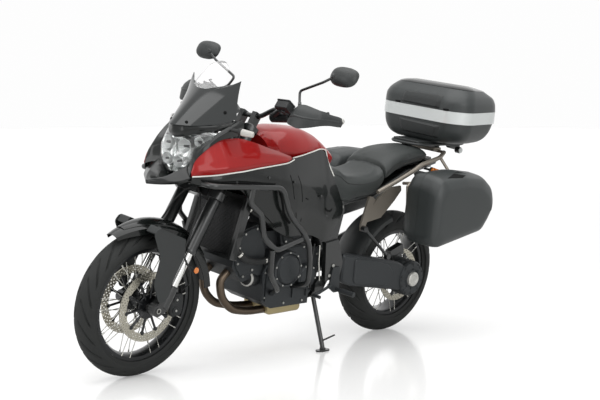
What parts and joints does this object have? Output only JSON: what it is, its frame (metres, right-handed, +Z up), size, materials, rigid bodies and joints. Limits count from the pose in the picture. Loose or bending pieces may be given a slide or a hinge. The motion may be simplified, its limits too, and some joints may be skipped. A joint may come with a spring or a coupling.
{
  "type": "adventure motorcycle",
  "caption": "Adventure motorcycle on wire wheels, with crash bars, hand guards, hinged side cases and top case, leaning on its side stand.",
  "frame": {"origin": "centre of the bounding box's base, on the ground, as the motorcycle leans parked on its side stand", "axes": "+X forwards along the motorcycle, +Y to the rider's left, +Z up"},
  "size_m": [2.4641, 1.0886, 1.4919],
  "materials": {
    "tyre_rubber": "matte",
    "black_rim": "satin",
    "disc_steel": "ground",
    "fork_black": "satin",
    "fork_silver": "satin",
    "axle_steel": "turned",
    "engine_grey": "matte",
    "frame_black": "satin",
    "header_steel": "heat stained",
    "silencer_black": "satin",
    "red_paint": "gloss",
    "gloss_black": "gloss",
    "grained_black": "grained",
    "silver_band": "satin",
    "champagne_metal": "satin",
    "seat_cover": "grained",
    "black_rubber": "matte",
    "lamp_glass": "clear",
    "screen_tint": "smoked",
    "lamp_red": "gloss",
    "indicator_black": "gloss"
  },
  "bodies": {
    "chassis": {"case_carriers": "champagne_metal", "crankcase": "engine_grey", "crash_bars": "frame_black", "cylinders": "engine_grey", "dash": "grained_black", "engine_covers": "engine_grey", "exhaust_headers": "header_steel", "final_drive": "engine_grey", "front_cowl": "gloss_black", "fuel_tank": "red_paint", "grab_rails": "champagne_metal", "headlight": "lamp_glass", "indicators": "indicator_black", "main_frame": "frame_black", "peg_brackets": "champagne_metal", "pillion_seat": "seat_cover", "plate_hanger": "grained_black", "rack_plate": "grained_black", "radiator": "frame_black", "rear_caliper": "frame_black", "rear_hugger": "grained_black", "rear_shock": "frame_black", "red_side_panels": "red_paint", "rider_pegs": "engine_grey", "rider_seat": "seat_cover", "side_case_shells": "grained_black", "side_cowls": "gloss_black", "silencer": "silencer_black", "subframe": "frame_black", "swingarm": "engine_grey", "tail_cowl": "gloss_black", "tail_lamp": "lamp_red", "top_case_band": "silver_band", "top_case_base": "grained_black", "torque_rod": "frame_black", "windscreen": "screen_tint"},
    "steering": {"yokes": "fork_black", "fork_tubes": "fork_black", "fork_lowers": "fork_silver", "front_axle": "axle_steel", "front_fender": "grained_black", "handlebar": "fork_black", "grips": "black_rubber", "bar_controls": "grained_black", "hand_guards": "grained_black", "mirrors": "grained_black", "front_calipers": "frame_black", "brake_hoses": "black_rubber"},
    "front_wheel": {"front_wheel_rim": "black_rim", "front_tyre": "tyre_rubber", "front_discs": "disc_steel"},
    "rear_wheel": {"rear_wheel_rim": "black_rim", "rear_tyre": "tyre_rubber", "rear_disc": "disc_steel"},
    "side_stand": {"side_stand": "frame_black"},
    "top_case_lid": {"top_case_lid": "grained_black"},
    "left_case_lid": {"left_case_lid": "grained_black"},
    "right_case_lid": {"right_case_lid": "grained_black"}
  },
  "joints": [
    {"name": "steering", "type": "hinge", "parent": "chassis", "child": "steering", "pos_m": [0.54132, -0.03437, 0.87412], "axis": [-0.4691, 0.1259, 0.8741], "range_deg": [-37, 31]},
    {"name": "front_wheel_spin", "type": "hinge", "parent": "steering", "child": "front_wheel", "pos_m": [0.90348, -0.11027, 0.32518], "axis": [-0.0463, 0.9849, -0.1667], "continuous": true},
    {"name": "rear_wheel_spin", "type": "hinge", "parent": "chassis", "child": "rear_wheel", "pos_m": [-0.69145, -0.11452, 0.3185], "axis": [-0.0001, 0.9898, -0.1426], "continuous": true},
    {"name": "side_stand_fold", "type": "hinge", "parent": "chassis", "child": "side_stand", "pos_m": [-0.07447, -0.03086, 0.26776], "axis": [-0.0001, 0.9898, -0.1426], "range_deg": [0, 82]},
    {"name": "top_case_hinge", "type": "hinge", "parent": "chassis", "child": "top_case_lid", "pos_m": [-0.79104, 0.00971, 1.18065], "axis": [-0.0001, 0.9898, -0.1426], "range_deg": [0, 80]},
    {"name": "left_case_hinge", "type": "hinge", "parent": "chassis", "child": "left_case_lid", "pos_m": [-0.70335, 0.26461, 0.5306], "axis": [-0.983, 0.0261, 0.1816], "range_deg": [0, 80]},
    {"name": "right_case_hinge", "type": "hinge", "parent": "chassis", "child": "right_case_lid", "pos_m": [-0.7033, -0.41834, 0.62902], "axis": [0.983, -0.0261, -0.1816], "range_deg": [0, 80]}
  ]
}
